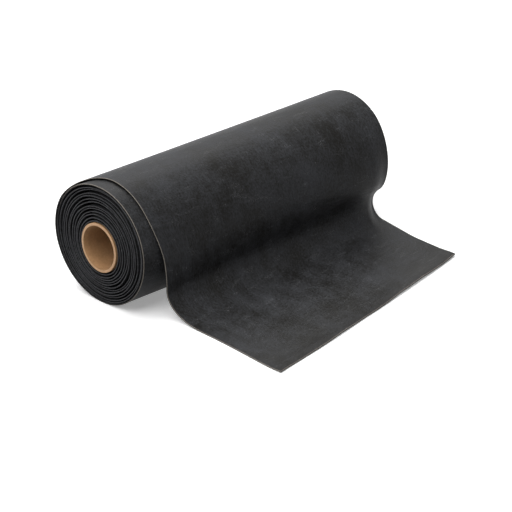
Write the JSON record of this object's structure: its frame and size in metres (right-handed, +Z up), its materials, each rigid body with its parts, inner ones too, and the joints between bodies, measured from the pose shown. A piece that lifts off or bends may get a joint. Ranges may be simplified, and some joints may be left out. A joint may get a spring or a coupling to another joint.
{
  "type": "rubber roofing membrane roll",
  "caption": "Roll of black rubber roofing membrane wound on an open cardboard core, lying on its side with its outer end pulled out flat as a tail.",
  "frame": {"origin": "middle of the length and depth, on the floor under the roll and its tail", "axes": "+X along the roll towards the end where the outermost turn overhangs, -Y towards the tail's front edge, +Z up"},
  "size_m": [0.394, 0.3524, 0.147],
  "materials": {
    "membrane_rubber": "matt, lightly dusted",
    "core_cardboard": "plain spiral-wound board"
  },
  "bodies": {
    "root": {"rubber_membrane": "membrane_rubber", "cardboard_core": "core_cardboard"}
  },
  "joints": []
}
